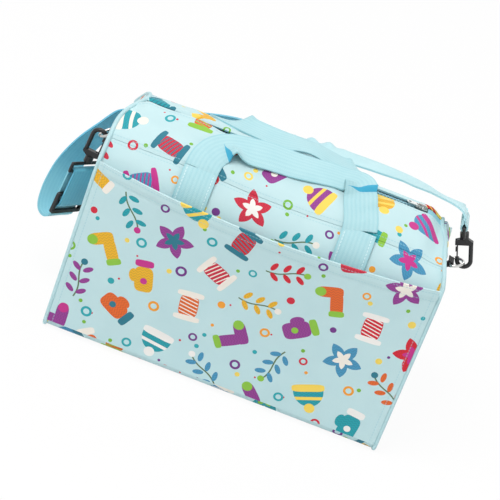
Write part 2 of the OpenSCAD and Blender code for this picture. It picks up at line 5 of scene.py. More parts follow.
import bpy
from mathutils import Matrix, Vector, noise
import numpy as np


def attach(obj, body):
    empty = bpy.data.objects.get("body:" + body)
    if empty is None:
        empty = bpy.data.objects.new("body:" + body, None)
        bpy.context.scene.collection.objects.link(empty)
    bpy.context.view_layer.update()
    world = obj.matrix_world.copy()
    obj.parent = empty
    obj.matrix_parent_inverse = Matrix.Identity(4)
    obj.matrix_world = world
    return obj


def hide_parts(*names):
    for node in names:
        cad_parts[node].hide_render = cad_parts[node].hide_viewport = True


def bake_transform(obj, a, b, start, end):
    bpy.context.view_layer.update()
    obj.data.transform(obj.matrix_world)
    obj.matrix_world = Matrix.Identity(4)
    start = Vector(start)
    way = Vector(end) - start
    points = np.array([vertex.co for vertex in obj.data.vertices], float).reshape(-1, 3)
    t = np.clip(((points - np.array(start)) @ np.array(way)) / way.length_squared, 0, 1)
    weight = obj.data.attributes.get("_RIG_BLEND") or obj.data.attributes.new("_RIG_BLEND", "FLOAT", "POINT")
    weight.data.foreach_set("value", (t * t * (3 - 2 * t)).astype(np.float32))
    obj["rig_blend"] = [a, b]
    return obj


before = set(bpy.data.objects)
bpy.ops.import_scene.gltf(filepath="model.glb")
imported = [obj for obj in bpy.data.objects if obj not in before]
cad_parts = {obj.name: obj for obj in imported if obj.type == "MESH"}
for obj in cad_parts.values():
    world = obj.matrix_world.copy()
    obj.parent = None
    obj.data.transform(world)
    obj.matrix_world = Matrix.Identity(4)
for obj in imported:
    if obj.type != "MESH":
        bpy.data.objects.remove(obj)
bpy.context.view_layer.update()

# small helpers


def smooth(value, low, high):
    t = min(1.0, max(0.0, (value - low) / (high - low)))
    return t * t * (3 - 2 * t)


def mix(a, b, t):
    return a + (b - a) * t


def spread(s, half):  # from -half at 0 to half at 1
    return (2 * s - 1) * half


def bell(value, wide):  # 1 at zero, fading over about this width
    return exp(-((value / wide) ** 2))


def ripple(x, y, z, size, amount):  # soft bumps of about this size
    return noise.noise(Vector((x, y, z)) / size) * amount


def addObject(name, data):
    made = bpy.data.objects.new(name, data)
    bpy.context.scene.collection.objects.link(made)
    return made


def looking(stand, aim, roll=0.0):  # a place that looks from one point at another
    turn = (Vector(aim) - Vector(stand)).to_track_quat("-Z", "Y").to_matrix().to_4x4()
    return Matrix.Translation(stand) @ turn @ Matrix.Rotation(radians(roll), 4, "Z")


def choose(*pieces):  # the first one is active
    bpy.ops.object.select_all(action="DESELECT")
    for piece in pieces:
        piece.select_set(True)
    bpy.context.view_layer.objects.active = pieces[0]


def applyAll(piece):
    choose(piece)
    for name in [m.name for m in piece.modifiers]:
        bpy.ops.object.modifier_apply(modifier=name)


def roundEdges(piece, wide):
    soft = piece.modifiers.new("soft", "BEVEL")
    soft.width, soft.segments = wide, 2
    applyAll(piece)


def settle(piece):  # place, turn and scale go into the mesh
    choose(piece)
    bpy.ops.object.transform_apply(location=True, rotation=True, scale=True)


def joinInto(pieces, name):
    choose(*pieces)
    bpy.ops.object.join()
    pieces[0].name = pieces[0].data.name = name
    return pieces[0]


def smoothFaces(piece, angle=40):
    choose(piece)
    bpy.ops.object.shade_smooth_by_angle(angle=radians(angle))


def thicken(piece, thick, offset):
    wall = piece.modifiers.new("thickness", "SOLIDIFY")
    wall.thickness, wall.offset = thick, offset
    applyAll(piece)
    smoothFaces(piece, 50)


def addBlock(size, middle=(0, 0, 0)):
    bpy.ops.mesh.primitive_cube_add(size=1, location=middle, scale=size)
    settle(bpy.context.object)
    return bpy.context.object


def flatChart(half, start, stop):  # metres across from the middle, and along between two marks
    return lambda s, t: (spread(s, half), mix(start, stop, t))


def cornerChart(wide, tall):
    return lambda s, t: (s * wide, t * tall)


# a sheet: a grid whose points are laid out by place(s, t), with its chart in metres
def layCloth(name, grid, place, chart, thick, middle=None, inward=-1):
    bpy.ops.mesh.primitive_grid_add(x_subdivisions=grid[0], y_subdivisions=grid[1], size=2)
    piece = bpy.context.object
    mesh = piece.data
    piece.name = mesh.name = name
    for point in mesh.vertices:
        point.co = place((point.co.x + 1) / 2, (point.co.y + 1) / 2)
    for spot in mesh.uv_layers.active.data:
        spot.uv = chart(spot.uv.x, spot.uv.y)
    middle = middle or bagMiddle
    out = sum(f.normal.dot(f.center - middle(f.center)) * f.area for f in mesh.polygons)
    if out < 0:  # the sheet faces away from its middle line
        mesh.flip_normals()
    if thick:
        thicken(piece, thick, inward)
    return piece


# camera

cameraSet = dict(
    stand=(-0.0116, -1.967, 1.050), aim=(-0.0116, -0.100, 0.179), roll=21.0, lens=136.8, clipEnd=50,
)


def makeCamera():
    lens = bpy.data.cameras.new("studioCamera")
    lens.lens, lens.clip_end = cameraSet["lens"], cameraSet["clipEnd"]
    camera = addObject("studioCamera", lens)
    camera.matrix_world = looking(cameraSet["stand"], cameraSet["aim"], cameraSet["roll"])
    bpy.context.scene.camera = camera


makeCamera()
print("camera set")

# shape of the bag

halfWide, halfDeep, wallHigh, domeHigh, foot = 0.196, 0.100, 0.190, 0.066, 0.010
domeTop = wallHigh + domeHigh
seamAngle, zipEdge, cloth = radians(42.0), 0.0082, 0.0034
wallSteps, domeSteps = 40, 360
leanSet = dict(
    above=0.215, over=0.041, inward=0.020, leftDepth=(-0.06, 0.03), rightDepth=(-0.04, 0.0),
    rightLeast=0.65,
)
sagSet = dict(
    high=(0.19, 0.225), panelX=0.18, rear=0.014, rearDepth=(0.012, 0.052), rearAcross=(0.0, 0.15),
    front=0.003, frontDepth=(0.02, 0.05), frontAcross=(0.10, 0.02), end=0.0085, endAcross=(0.160, 0.180),
    endHigh=(0.222, 0.253),
)


def outlinePoints():  # side view from the front foot over the top to the rear foot
    rise = [(-halfDeep, mix(foot, wallHigh, i / wallSteps)) for i in range(wallSteps)]
    turns = [pi * i / domeSteps for i in range(domeSteps + 1)]
    over = [(-halfDeep * cos(a), wallHigh + domeHigh * sin(a)) for a in turns]
    return rise + over + [(-y, z) for y, z in reversed(rise)]


outline = outlinePoints()
lengths = list(accumulate(map(dist, outline, outline[1:]), initial=0.0))
wrapLong = lengths[-1]


def wrapAt(d):  # point and outward direction at a distance along the outline
    d = min(wrapLong - 1e-9, max(0.0, d))
    k = bisect_right(lengths, d) - 1
    t = (d - lengths[k]) / (lengths[k + 1] - lengths[k])
    (y0, z0), (y1, z1) = outline[k], outline[k + 1]
    step = hypot(y1 - y0, z1 - z0)
    return mix(y0, y1, t), mix(z0, z1, t), -(z1 - z0) / step, (y1 - y0) / step


def wrapWhere(test):  # first distance along the outline where a point passes a test
    return next(d for (y, z), d in zip(outline, lengths) if test(y, z))


seamY = halfDeep * cos(seamAngle)
seamZ = wallHigh + domeHigh * sin(seamAngle)
seamLong = wrapWhere(lambda y, z: y >= -seamY)
zipLong = wrapWhere(lambda y, z: y >= -zipEdge)


def sideX(sign, y, z):  # half width on one side: the slack top leans in, least at the front left
    lean = min(1.0, max(0.0, z - leanSet["above"]) / leanSet["over"])
    if sign < 0:
        share = smooth(y, *leanSet["leftDepth"])
    else:
        share = mix(leanSet["rightLeast"], 1.0, smooth(y, *leanSet["rightDepth"]))
    return halfWide - leanSet["inward"] * lean * share


def acrossBag(s, y, z):  # from the left edge at 0 to the right edge at 1
    return mix(-sideX(-1, y, z), sideX(1, y, z), s)


def sag(x, y, z):  # how far the slack top has dropped
    rear = smooth(y, *sagSet["rearDepth"]) * smooth(x, *sagSet["rearAcross"])
    front = smooth(-y, *sagSet["frontDepth"]) * smooth(abs(x), *sagSet["frontAcross"])
    end = smooth(x, *sagSet["endAcross"]) * smooth(z, *sagSet["endHigh"])
    slack = smooth(z, *sagSet["high"]) * (sagSet["rear"] * rear + sagSet["front"] * front)
    return slack + sagSet["end"] * end


def domeShare(y):  # how much of the dome's height is left at a depth
    return sqrt(max(0.0, 1 - (y / halfDeep) ** 2))


def onBag(x, d, lift=0.0, rear=False):
    y, z, ny, nz = wrapAt(d)
    if rear:
        y, ny = -y, -ny
    return Vector((x, y + ny * lift, z + nz * lift - sag(x, y, z)))


def bagMiddle(spot):  # cloth round the bag faces away from here
    return Vector((spot.x, 0.0, domeTop / 2))


def endMiddle(spot):  # cloth at the ends faces away from here
    return Vector((0, spot.y, spot.z))


print("bag outline", round(wrapLong, 4), "seam at", round(seamLong, 4))

# panels

panelSet = dict(
    grid=(72, 44), held=(6, 5, 5), puff=0.0035, uneven=0.25, sink=0.0025, wrinkle=(0.045, 0.0012), slice=0.3,
    share=0.4, inset=0.001,
)
baseSet = dict(grid=(40, 48), chartFrom=0.31)
sideSet = dict(
    grid=(44, 52), held=(4, 4, 4), inset=0.0005, out=0.0028, hollow=0.006, dent=(0.06, 0.0022), tabZ=0.2,
    tabWide=0.022, tabTall=0.028, chartFrom=(0.7, 0.13),
)


def heldOff(s, t, sides, low, high):  # 0 along the seams, 1 away from them
    return min(1.0, sides * min(s, 1 - s)) * min(1.0, low * t) * min(1.0, high * (1 - t))


def panelLift(x, d, s, t):  # padding swells between the seams and creases a little
    held = heldOff(s, t, *panelSet["held"])
    swell = panelSet["puff"] * held * (1 + panelSet["uneven"] * (sin(2.3 * pi * s + 0.6) - 1))
    creases = held * ripple(x, d, panelSet["slice"], *panelSet["wrinkle"])
    return swell - panelSet["sink"] * (1 - held) + creases


def wallPanel(name, rear):
    def place(s, t):
        d = t * seamLong
        y, z = wrapAt(d)[:2]
        x = acrossBag(s, -y if rear else y, z)
        return onBag(x, d, panelSet["share"] * panelLift(x, d, s, t) - panelSet["inset"], rear)

    return layCloth(name, panelSet["grid"], place, flatChart(halfWide, 0, seamLong), cloth)


def basePanel():
    turn = 0.5 * pi * foot
    long = 2 * turn + 2 * (halfDeep - foot)

    def section(d):
        if d > long / 2:
            y, z = section(long - d)
            return -y, z
        if d < turn:
            a = pi + d / foot
            return -halfDeep + foot + foot * cos(a), foot + foot * sin(a)
        return -halfDeep + foot + d - turn, 0.0

    def place(s, t):
        return Vector((spread(s, halfWide), *section(t * long)))

    chart = flatChart(halfWide, baseSet["chartFrom"], baseSet["chartFrom"] + long)
    return layCloth("baseSkin", baseSet["grid"], place, chart, cloth)


def sideEdge(y, sign):  # lowest and highest point of a side panel at a depth
    over = max(0.0, abs(y) - halfDeep + sideSet["inset"] + foot)
    low = foot - sqrt(max(0.0, foot * foot - over * over))
    high = wallHigh + (domeHigh - sideSet["inset"]) * domeShare(y)
    return low, high - sag(sign * sagSet["panelX"], y, high)


def sidePanel(name, sign):
    deep = halfDeep - sideSet["inset"]

    def place(s, t):
        y = spread(s, deep)
        z = mix(*sideEdge(y, sign), t)
        nearTab = bell(y, sideSet["tabWide"]) * bell(z - sideSet["tabZ"], sideSet["tabTall"])
        free = heldOff(s, t, *sideSet["held"]) * (1 - nearTab)
        x = sideX(sign, y, z) + sideSet["out"]
        x += free * (ripple(y, z, sign, *sideSet["dent"]) - sideSet["hollow"])
        return Vector((sign * x, y, z))

    def chart(s, t):
        y = spread(s, deep)
        u, v = sideSet["chartFrom"]
        return sign * y + u, mix(*sideEdge(y, sign), t) + v

    return layCloth(name, sideSet["grid"], place, chart, cloth, endMiddle)


frontWall = wallPanel("frontWall", False)
backWall = wallPanel("backWall", True)
baseSkin = basePanel()
leftSide = sidePanel("leftSide", -1)
rightSide = sidePanel("rightSide", 1)
print("panels laid")

# pocket

pocketSet = dict(
    grid=(96, 60), hem=0.215, gap=0.0006, thick=0.0022, cutFrom=0.62, held=(9, 6), gape=0.024, lean=0.35,
    bow=1.8, round=0.9, wave=(0.055, 0.0016), slice=0.1, sway=0.0012, sways=9, hemWide=0.013,
    hemThick=0.0009, hemStep=0.003, groove=0.0007, grooveWide=0.0012, drop=0.004, dropFrom=0.5,
)


def pocketSheet(look=pocketSet):
    tall = look["hem"] - foot
    atSides, atFoot = look["held"]

    def place(s, t):
        x, z = spread(s, halfWide), foot + tall * t
        free = 1 - (x / halfWide) ** 2
        lean = mix(t ** look["bow"], t, look["lean"])
        out = look["gape"] * lean * free ** look["round"]
        held = min(1.0, atSides * min(s, 1 - s)) * min(1.0, atFoot * t)
        out += held * ripple(x, z, look["slice"], *look["wave"])
        out += held * look["sway"] * sin(look["sways"] * x / halfWide) * t
        pastHem = tall * t - (tall - look["hemWide"])
        out -= look["groove"] * bell(pastHem, look["grooveWide"])
        out += look["hemThick"] * smooth(pastHem, 0.0, look["hemStep"])
        z -= look["drop"] * free * smooth(t, look["dropFrom"], 1.0)
        return Vector((x, -halfDeep - look["gap"] - look["thick"] - out, z))

    chart = flatChart(halfWide, look["cutFrom"], look["cutFrom"] + tall)
    return layCloth("pocketSheet", look["grid"], place, chart, look["thick"])


pocket = pocketSheet()
print("pocket laid")

# piping round the side panels

pipingSet = dict(
    round=0.0025, sides=3, out=0.0020, stretch=1.004, every=3, footX=0.1980, footZ=0.0031, footRound=1.03,
    turnSteps=8, baseSteps=12,
)


def pipingCord(name, sign, look=pipingSet):
    turnSteps, baseSteps = look["turnSteps"], look["baseSteps"]
    footX, footZ = sign * look["footX"], look["footZ"]
    path = []
    for y, z in outline[::look["every"]]:
        x = sideX(sign, y, z) + look["out"]
        path.append((sign * x, y * look["stretch"], z - sag(sign * sagSet["panelX"], y, z)))

    def footTurn(middle, start):
        for k in range(1, turnSteps):
            a = start - 0.5 * pi * k / turnSteps
            y = middle + foot * look["footRound"] * cos(a)
            path.append((footX, y, max(footZ, foot + foot * sin(a))))

    footTurn(halfDeep - foot, 0.0)
    for k in range(baseSteps + 1):
        path.append((footX, (halfDeep - foot) * (1 - 2 * k / baseSteps), footZ))
    footTurn(foot - halfDeep, -0.5 * pi)
    curve = bpy.data.curves.new(name, "CURVE")
    curve.dimensions = "3D"
    curve.bevel_depth = look["round"]
    curve.bevel_resolution = look["sides"]
    line = curve.splines.new("POLY")
    line.points.add(len(path) - 1)
    for point, spot in zip(line.points, path):
        point.co = (*spot, 1)
    line.use_cyclic_u = True
    choose(addObject(name, curve))
    bpy.ops.object.convert(target="MESH")
    smoothFaces(bpy.context.object, 60)
    return bpy.context.object


leftPiping = pipingCord("leftPiping", -1)
rightPiping = pipingCord("rightPiping", 1)
print("piping laid")

# lining

liningSet = dict(
    gap=0.0046, top=0.226, inset=0.0012, slack=(0.05, 0.0012), drawnIn=4, drop=1.1, thick=0.0006,
    grid=(36, 84), endGrid=(20, 28), endChart=(0.2, 0.22),
)


def liningShell(look=liningSet):
    gap, deep = look["gap"], halfDeep - look["gap"]
    wide = halfWide - look["inset"]
    rise = wrapWhere(lambda y, z: z >= look["top"])
    run = 2 * (rise + foot) + 2 * deep

    def halfAt(z):
        return sideX(1, 0.0, z) - look["inset"]

    def section(d):
        if d < rise + foot:
            if d > rise:
                return -deep, foot + gap - (d - rise)
            y, z, ny, nz = wrapAt(rise - d)
            return y - ny * gap, max(z - nz * gap, gap)
        if d > run - rise - foot:
            y, z = section(run - d)
            return -y, z
        return -deep + d - rise - foot, gap

    def wrap(s, t):
        y, z = section(t * run)
        x = spread(s, halfAt(z))
        slack = abs(ripple(x, y, z, *look["slack"]))
        drop = look["drop"] * sag(x, y, z)
        return Vector((x, y * (1 - slack * look["drawnIn"]), z - drop))

    parts = [layCloth("liningShell", look["grid"], wrap, flatChart(wide, 0, run), 0)]
    for sign in (-1, 1):
        def end(s, t, sign=sign):
            z = mix(gap, look["top"], t)
            over = max(0.0, z - wallHigh) / domeHigh
            y = spread(s, halfDeep * sqrt(1 - over ** 2) - gap)
            x = sign * (halfAt(z) - heldOff(s, t, *sideSet["held"]) * sideSet["hollow"])
            return Vector((x, y, z - look["drop"] * sag(x, y, z)))

        chart = cornerChart(*look["endChart"])
        parts.append(layCloth("liningEnd", look["endGrid"], end, chart, 0, endMiddle))
    shell = joinInto(parts, "liningShell")
    shell.data.flip_normals()
    thicken(shell, look["thick"], 1)
    return shell


lining = liningShell()
print("lining laid")

# top leaves, zip tapes and teeth

leafSet = dict(
    grid=(110, 30), thin=0.8, held=(7, 5, 6), rest=0.0015, wrinkle=(0.05, 0.0022), pucker=(0.021, 0.0007),
    fold=0.0016, foldIn=0.004, foldWide=0.003, seam=0.0014, seamWide=0.0035, hump=0.0072, rearHump=0.25,
    crestFrom=(0.45, 0.90), crestTo=(1.0, 0.966), looseFrom=(0.06, 0.112), looseTo=(0.188, 0.172),
    looseSway=0.011, rearChart=0.61, liftHalf=0.111, sewnHalf=0.150,
)
zipSet = dict(
    tapeZ=0.2538, left=-0.165, right=0.157, reach=0.0030, over=0.0016, slope=0.0016, thick=0.0009,
    chartWide=0.007, grid=(90, 5), teethRight=0.148, pitch=0.004, tooth=(0.0017, 0.0046, 0.0022),
    toothRound=0.0006, toothY=0.0012, toothUp=0.0002,
)


def leafPanel(name, rear, look=leafSet):
    long = zipLong - seamLong

    def place(s, t):
        d = mix(seamLong, zipLong, t)
        y, z = wrapAt(d)[:2]
        x = acrossBag(s, -y if rear else y, z)
        held = heldOff(s, t, *look["held"])
        lift = held * (look["rest"] + ripple(x, d, 0.8 if rear else 0.5, *look["wrinkle"]))
        lift += held * ripple(x, d * 0.4, 2.0, *look["pucker"])
        lift += look["fold"] * bell((1 - t) * long - look["foldIn"], look["foldWide"])
        lift -= look["seam"] * bell(t * long, look["seamWide"])
        crest = smooth(t, *look["crestFrom"]) * smooth(t, *look["crestTo"])
        loose = smooth(-x, *look["looseFrom"]) * smooth(-x, *look["looseTo"])
        loose *= 0.88 + 0.12 * sin(x / look["looseSway"])
        lift += look["hump"] * crest * loose * (look["rearHump"] if rear else 1.0)
        return onBag(x, d, lift, rear)

    def chart(s, t):
        shift = look["rearChart"] if rear else 0.0
        return spread(s, halfWide) + shift, mix(seamLong, zipLong, t) + shift

    return layCloth(name, look["grid"], place, chart, cloth * look["thin"])


def zipTape(name, sign):
    long = zipSet["right"] - zipSet["left"]
    inner, outer = zipSet["reach"], zipEdge + zipSet["over"]

    def place(s, t):
        y = mix(inner, outer, t)
        return Vector((zipSet["left"] + long * s, sign * y, zipSet["tapeZ"] - zipSet["slope"] * t))

    chart = cornerChart(long, zipSet["chartWide"])
    return layCloth(name, zipSet["grid"], place, chart, zipSet["thick"])


def zipTeeth(name, sign, offset):
    tooth = addBlock(zipSet["tooth"])
    roundEdges(tooth, zipSet["toothRound"])
    count = int((zipSet["teethRight"] - zipSet["left"]) / zipSet["pitch"]) - 1
    row = []
    for k in range(count):
        copy = addObject(name, tooth.data.copy())
        x = zipSet["left"] + zipSet["pitch"] * (k + 0.5 + offset)
        spot = (x, sign * zipSet["toothY"], zipSet["tapeZ"] + zipSet["toothUp"])
        copy.data.transform(Matrix.Translation(spot))
        row.append(copy)
    bpy.data.objects.remove(tooth)
    teeth = joinInto(row, name)
    smoothFaces(teeth)
    return teeth


def setWeights(piece, share):  # how far each point follows the second of its two bodies
    for point, weight in zip(piece.data.vertices, piece.data.attributes["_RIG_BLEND"].data):
        weight.value = share(point.co)


def openWith(piece, leaf, sign):  # the middle lifts with the leaf, the ends stay sewn down
    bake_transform(piece, "bag", leaf, (0, sign * seamY, seamZ), (0, 0, seamZ))
    setWeights(piece, lambda spot: smooth(abs(spot.x), leafSet["sewnHalf"], leafSet["liftHalf"]))


frontLeaf = leafPanel("frontLeaf", False)
rearLeaf = leafPanel("rearLeaf", True)
frontTape, rearTape = zipTape("frontTape", -1), zipTape("rearTape", 1)
frontTeeth, rearTeeth = zipTeeth("frontTeeth", -1, 0.0), zipTeeth("rearTeeth", 1, 0.5)
for piece in (frontLeaf, frontTape, frontTeeth):
    openWith(piece, "front_leaf", -1)
for piece in (rearLeaf, rearTape, rearTeeth):
    openWith(piece, "rear_leaf", 1)
print("leaves and zip laid")

# tabs over the ends of the zip

endTabSet = dict(
    left=(-0.1850, -0.1645), right=(0.1580, 0.1768), wide=0.0154, thick=0.0034, up=0.0004, cuts=3,
    crown=0.0006, slope=0.012, slopeFrom=0.168, round=0.0009,
)


def zipEndTab(name, low, high, look=endTabSet):
    middle = ((low + high) / 2, 0, zipSet["tapeZ"] + look["up"])
    tab = addBlock((high - low, look["wide"], look["thick"]), middle)
    tab.name = tab.data.name = name
    bpy.ops.object.mode_set(mode="EDIT")
    bpy.ops.mesh.select_all(action="SELECT")
    bpy.ops.mesh.subdivide(number_cuts=look["cuts"])
    bpy.ops.object.mode_set(mode="OBJECT")
    for point in tab.data.vertices:
        drop = look["crown"] * (2 * point.co.y / look["wide"]) ** 2
        drop += look["slope"] * max(0.0, abs(point.co.x) - look["slopeFrom"])
        point.co.z -= drop + sag(point.co.x, 0.0, domeTop)
    roundEdges(tab, look["round"])
    smoothFaces(tab)
    return tab


leftZipTab = zipEndTab("leftZipTab", *endTabSet["left"])
rightZipTab = zipEndTab("rightZipTab", *endTabSet["right"])

# webbing

webSet = dict(wide=0.038, thick=0.0019, lanes=10, dip=0.0005, dipAt=0.09, dipWide=0.03)
webHalf = webSet["wide"] / 2
legSet = dict(x=0.092, foot=0.062, over=0.0003, rows=60, lift=0.0028, wrinkle=(0.05, 0.0004), slice=0.2)


def through(keys, t):  # a smooth run through the keys, and its slope
    n = len(keys) - 1
    k = min(n - 1, int(t * n))
    f = t * n - k
    a, b, c, d = (Vector(keys[min(n, max(0, k + i))]) for i in (-1, 0, 1, 2))
    second, third = 2 * a - 5 * b + 4 * c - d, 3 * b - a - 3 * c + d
    spot = 0.5 * (2 * b + (c - a) * f + second * f ** 2 + third * f ** 3)
    slope = 0.5 * ((c - a) + 2 * second * f + 3 * third * f ** 2)
    return spot, slope


def stitchDip(s):  # webbing is drawn in along its rows of stitches
    return webSet["dip"] * bell(min(s, 1 - s) - webSet["dipAt"], webSet["dipWide"])


def handleLegs(name, rear):
    start = wrapWhere(lambda y, z: z >= legSet["foot"])
    stop = seamLong + legSet["over"]
    chart = flatChart(webHalf, start, stop)
    legs = []
    for sign in (-1, 1):
        def place(s, t, sign=sign):
            across, d = chart(s, t)
            x = sign * legSet["x"] + across
            lift = legSet["lift"] + ripple(x, d, legSet["slice"], *legSet["wrinkle"])
            return onBag(x, d, lift - stitchDip(s), rear)

        grid = webSet["lanes"], legSet["rows"]
        legs.append(layCloth(name, grid, place, chart, webSet["thick"]))
    return joinInto(legs, name)


# one loop of webbing: up the leaf, round into the grip with buckles at the inner edge, and back down
handleSet = dict(
    front=((-92, -74.2), (-91.5, -68), (-89.5, -58), (-84, -47), (-73, -38.5), (-57, -33), (-30, -27),
           (0, -22.5), (28, -18), (54, -15.5), (70.5, -19), (79, -32), (83.5, -45), (87.5, -57),
           (90.5, -68), (92, -74.2)),
    rear=((-92, -74.2), (-91.5, -68), (-89, -58), (-83, -47), (-72, -39), (-56, -34), (-28, -30),
          (0, -28.5), (28, -29), (54, -32), (70, -38.5), (79, -47), (86, -57), (90.5, -68), (92, -74.2)),
    rows=132, long=0.34, rootLift=0.00185, legLift=0.0032, frontEdges=(0.0105, 0.0045),
    rearEdges=(0.0045, 0.0165), grip=(0.36, 0.20), rise=(0.5, 0.42), wrinkle=(0.055, 0.0024),
    buckle=0.0125, buckleLong=0.040, buckles=((0.285, 0.55), (0.70, 1.0)), rearBuckle=0.25,
    folds=(dict(at=0.246, band=1, deep=0.0060, plain=-0.2, full=0.5),
           dict(at=0.722, band=-1, deep=0.0055, plain=0.5, full=-0.3)),
    foldStep=(-0.004, 0.004), foldFade=(0.13, 0.03), wave=(0.0005, 0.0034), waveLong=0.0125,
    waveFrom=(-0.045, 0.0), flat=0.7, flatAcross=(-0.01, -0.04), flatAlong=(0.12, 0.22),
    gripY=0.05, bend=(0.001, 0.018),
)


def domeUnder(x, y):
    z = wallHigh + domeHigh * domeShare(y)
    return z - sag(x, y, z)


def domeOut(y):  # outward direction of the top at a depth, in side view
    return Vector((y / halfDeep ** 2, domeShare(y) / domeHigh)).normalized()


def handleLoop(name, which, look=handleSet):
    rear = which == "rear"
    path = [Vector((x, y, 0)) / 1000 for x, y in look[which]]
    rows = look["rows"]
    line = [through(path, k / rows) for k in range(rows + 1)]
    layer = 4.0 if rear else 1.0
    inner, outer = look[which + "Edges"]

    def buckle(w, t):
        lift = 0.0
        for middle, share in look["buckles"]:
            near = bell(t - middle, look["buckleLong"])
            lift += near * smooth(w, -0.1, 1.0) * (look["rearBuckle"] if rear else share)
        return look["buckle"] * lift

    def fold(w, t):  # the grip of the front handle lies over its leg at each corner
        lift = 0.0
        for turn in look["folds"]:
            along = (t - turn["at"]) * turn["band"]
            crest = smooth(along, *look["foldStep"]) * smooth(along, *look["foldFade"])
            lift += turn["deep"] * crest * smooth(w / 2, turn["plain"], turn["full"])
        return lift

    def place(s, t):
        spot, slope = line[round(t * rows)]
        w = spread(s, 1)
        ahead = slope.normalized()
        x = spot.x + ahead.y * w * webHalf
        y = spot.y - ahead.x * w * webHalf
        grip = smooth(abs(t - 0.5), *look["grip"])
        rise = smooth(abs(t - 0.5), *look["rise"])
        lift = mix(mix(look["rootLift"], look["legLift"], rise), mix(inner, outer, s), grip)
        lift += buckle(w, t) - (1 - rise) * stitchDip(s)
        lift += grip * ripple(x, y * 0.4, layer, *look["wrinkle"])
        if rear:
            level, deep = look["wave"]
            wave = level + deep * sin(x / look["waveLong"] + 0.6)
            lift += grip * (1 - s) * wave * smooth(x, *look["waveFrom"])
            flat = smooth(x, *look["flatAcross"]) * smooth(t, *look["flatAlong"])
            lift -= look["flat"] * (lift - look["rootLift"]) * (1 - s) * flat
        else:
            lift += fold(w, t)
        out = domeOut(y)
        y += (1 - rise) * lift * out.x
        lift /= mix(out.y, 1.0, rise)
        y = -y if rear else y
        return Vector((x, y, domeUnder(x, y) + lift))

    chart = flatChart(webHalf, 0, look["long"])
    return layCloth(name, (webSet["lanes"], rows), place, chart, webSet["thick"], inward=0)


def swingWith(piece, leaf, loop, sign):  # the roots stay with the leaf, the grip swings
    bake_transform(piece, leaf, loop, (0, sign * seamY, seamZ), (0, sign * handleSet["gripY"], seamZ))
    low, high = handleSet["bend"]
    setWeights(piece, lambda spot: smooth(abs(spot.y), seamY - low, seamY - high))


frontLegs, rearLegs = handleLegs("frontLegs", False), handleLegs("rearLegs", True)
frontHandle = handleLoop("frontHandle", "front")
rearHandle = handleLoop("rearHandle", "rear")
swingWith(frontHandle, "front_leaf", "front_loop", -1)
swingWith(rearHandle, "rear_leaf", "rear_loop", 1)
print("handles laid")

# tabs of folded tape that hold the rings

ringTabSet = dict(
    wide=0.016, thick=0.0012, lanes=6, long=0.04, bar=(0.2045, 0.208), round=0.0026,
    turn=range(-100, 101, 20), above=[(0.2020, 0.2110), (0.2008, 0.2116)],
    below=[(0.2010, 0.1880), (0.2010, 0.1960), (0.2010, 0.2035), (0.2020, 0.2050)],
)


def ringTab(name, sign, look=ringTabSet):
    barX, barZ = look["bar"]
    path = list(look["below"])
    for turn in look["turn"]:
        a = radians(turn)
        path.append((barX + look["round"] * cos(a), barZ + look["round"] * sin(a)))
    path += look["above"]
    rows = len(path) - 1

    def place(s, t):
        x, z = path[round(t * rows)]
        return Vector((sign * x, spread(s, look["wide"] / 2), z))

    return layCloth(name, (look["lanes"], rows), place, cornerChart(look["wide"], look["long"]),
                    look["thick"], lambda spot: Vector((sign * barX, spot.y, barZ)), 0)


leftRingTab = ringTab("leftRingTab", -1)
rightRingTab = ringTab("rightRingTab", 1)

# shoulder strap

strapSet = dict(
    wide=0.038, thick=0.0021, lanes=8, rows=400, curl=0.0007, curlRest=0.4, skew=0.16,
    flutter=dict(begins=(0.20, 0.23), ends=(0.36, 0.33), deep=0.0026, pitch=0.022, across=(-0.2, 1.0)),
)
strapEndSet = dict(strapSet, wide=0.037, thick=webSet["thick"], curl=0.0, skew=0.0, flutter=None)
strapKeys = (  # place in millimetres, and direction across
    ((197.8, 0, 267.7), (0, 1, 0)), ((196.8, 0.4, 270.8), (0, 1, -0.1)), ((193, 3, 272.8), (0.12, 1, -0.24)),
    ((184.5, 13, 272), (0.42, 0.9, -0.25)), ((170, 32, 265.8), (0.78, 0.62, -0.2)),
    ((153.5, 60, 255.6), (0.84, 0.5, -0.12)), ((137, 87, 247.8), (0.75, 0.65, -0.08)),
    ((114, 104, 242.2), (0.4, 0.92, -0.08)), ((88, 108, 240.5), (0.1, 1, -0.07)),
    ((62, 108, 239.5), (0, 1, -0.05)), ((18, 108, 238.2), (0, 1, -0.05)), ((-30, 109, 233.2), (0, 0.9, -0.4)),
    ((-75, 110, 223.2), (0, 0.5, -0.85)), ((-115, 110, 209.2), (0, 0.2, -1)),
    ((-150, 110, 196.5), (0, 0.12, -1)), ((-180, 110.5, 185.8), (0, 0.1, -1)),
    ((-211.6, 108, 175.6), (0.1, 0.3, -0.95)), ((-225.4, 91, 162.8), (0.27, 0.55, -0.8)),
    ((-238, 72, 143.9), (0.45, 0.52, -0.7)), ((-246, 52, 122), (0.65, 0.48, -0.55)),
    ((-248, 33, 102.8), (0.76, 0.46, -0.45)), ((-246.4, 19, 91), (0.78, 0.55, -0.3)),
    ((-242.2, 9, 85.2), (0.75, 0.65, -0.1)), ((-236.4, 3.4, 84.6), (0.62, 0.78, 0)),
    ((-231.4, 2, 88.6), (0.57, 0.819, -0.06)), ((-230.3, 2, 93), (0.57, 0.819, -0.06)),
    ((-228.7, 2, 107.4), (0.57, 0.819, -0.06)), ((-224.1, 2, 150.9), (0.57, 0.819, -0.06)),
)


